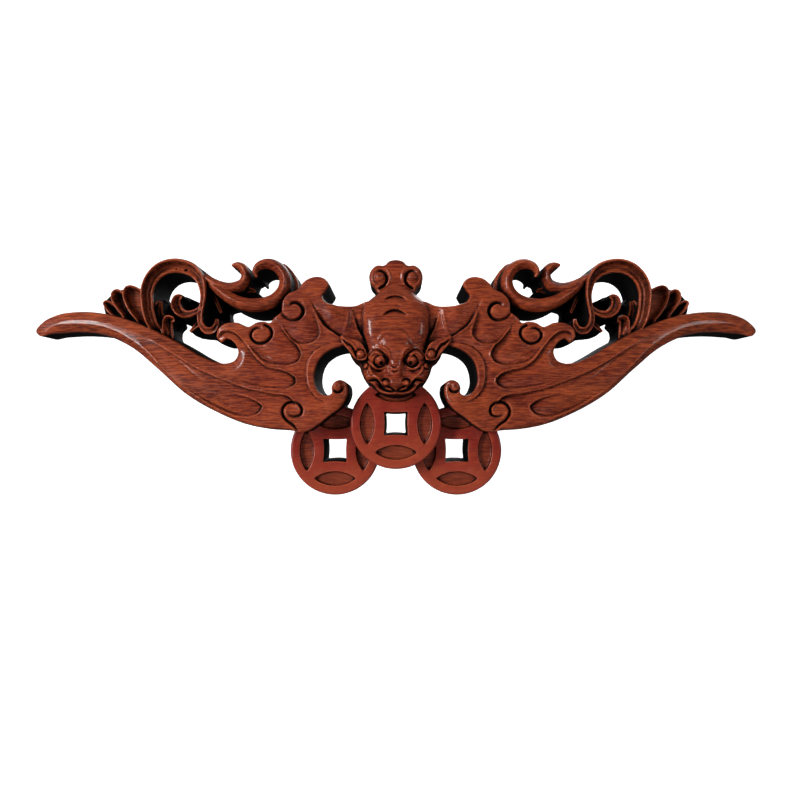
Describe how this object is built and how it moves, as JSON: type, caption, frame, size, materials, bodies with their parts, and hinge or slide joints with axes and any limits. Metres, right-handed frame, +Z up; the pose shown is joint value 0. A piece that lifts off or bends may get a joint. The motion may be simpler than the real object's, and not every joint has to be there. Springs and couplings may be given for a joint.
{
  "type": "carved wall panel",
  "caption": "Pierced wooden wall carving of a bat with spread wings, scrolled foliage over its shoulders and round pierced coins under its chin.",
  "frame": {"origin": "on the flat back, in the middle plane, behind the bat's body", "axes": "+Z up the wall, +X along the span to the viewer's right, +Y out of the flat back into the wall; the carved face looks along -Y"},
  "size_m": [0.3997, 0.0444, 0.1287],
  "materials": {
    "carved_wood": "stained red-brown, lacquered to a soft gloss"
  },
  "bodies": {
    "root": {"carved_bat_panel": "carved_wood"}
  },
  "joints": []
}
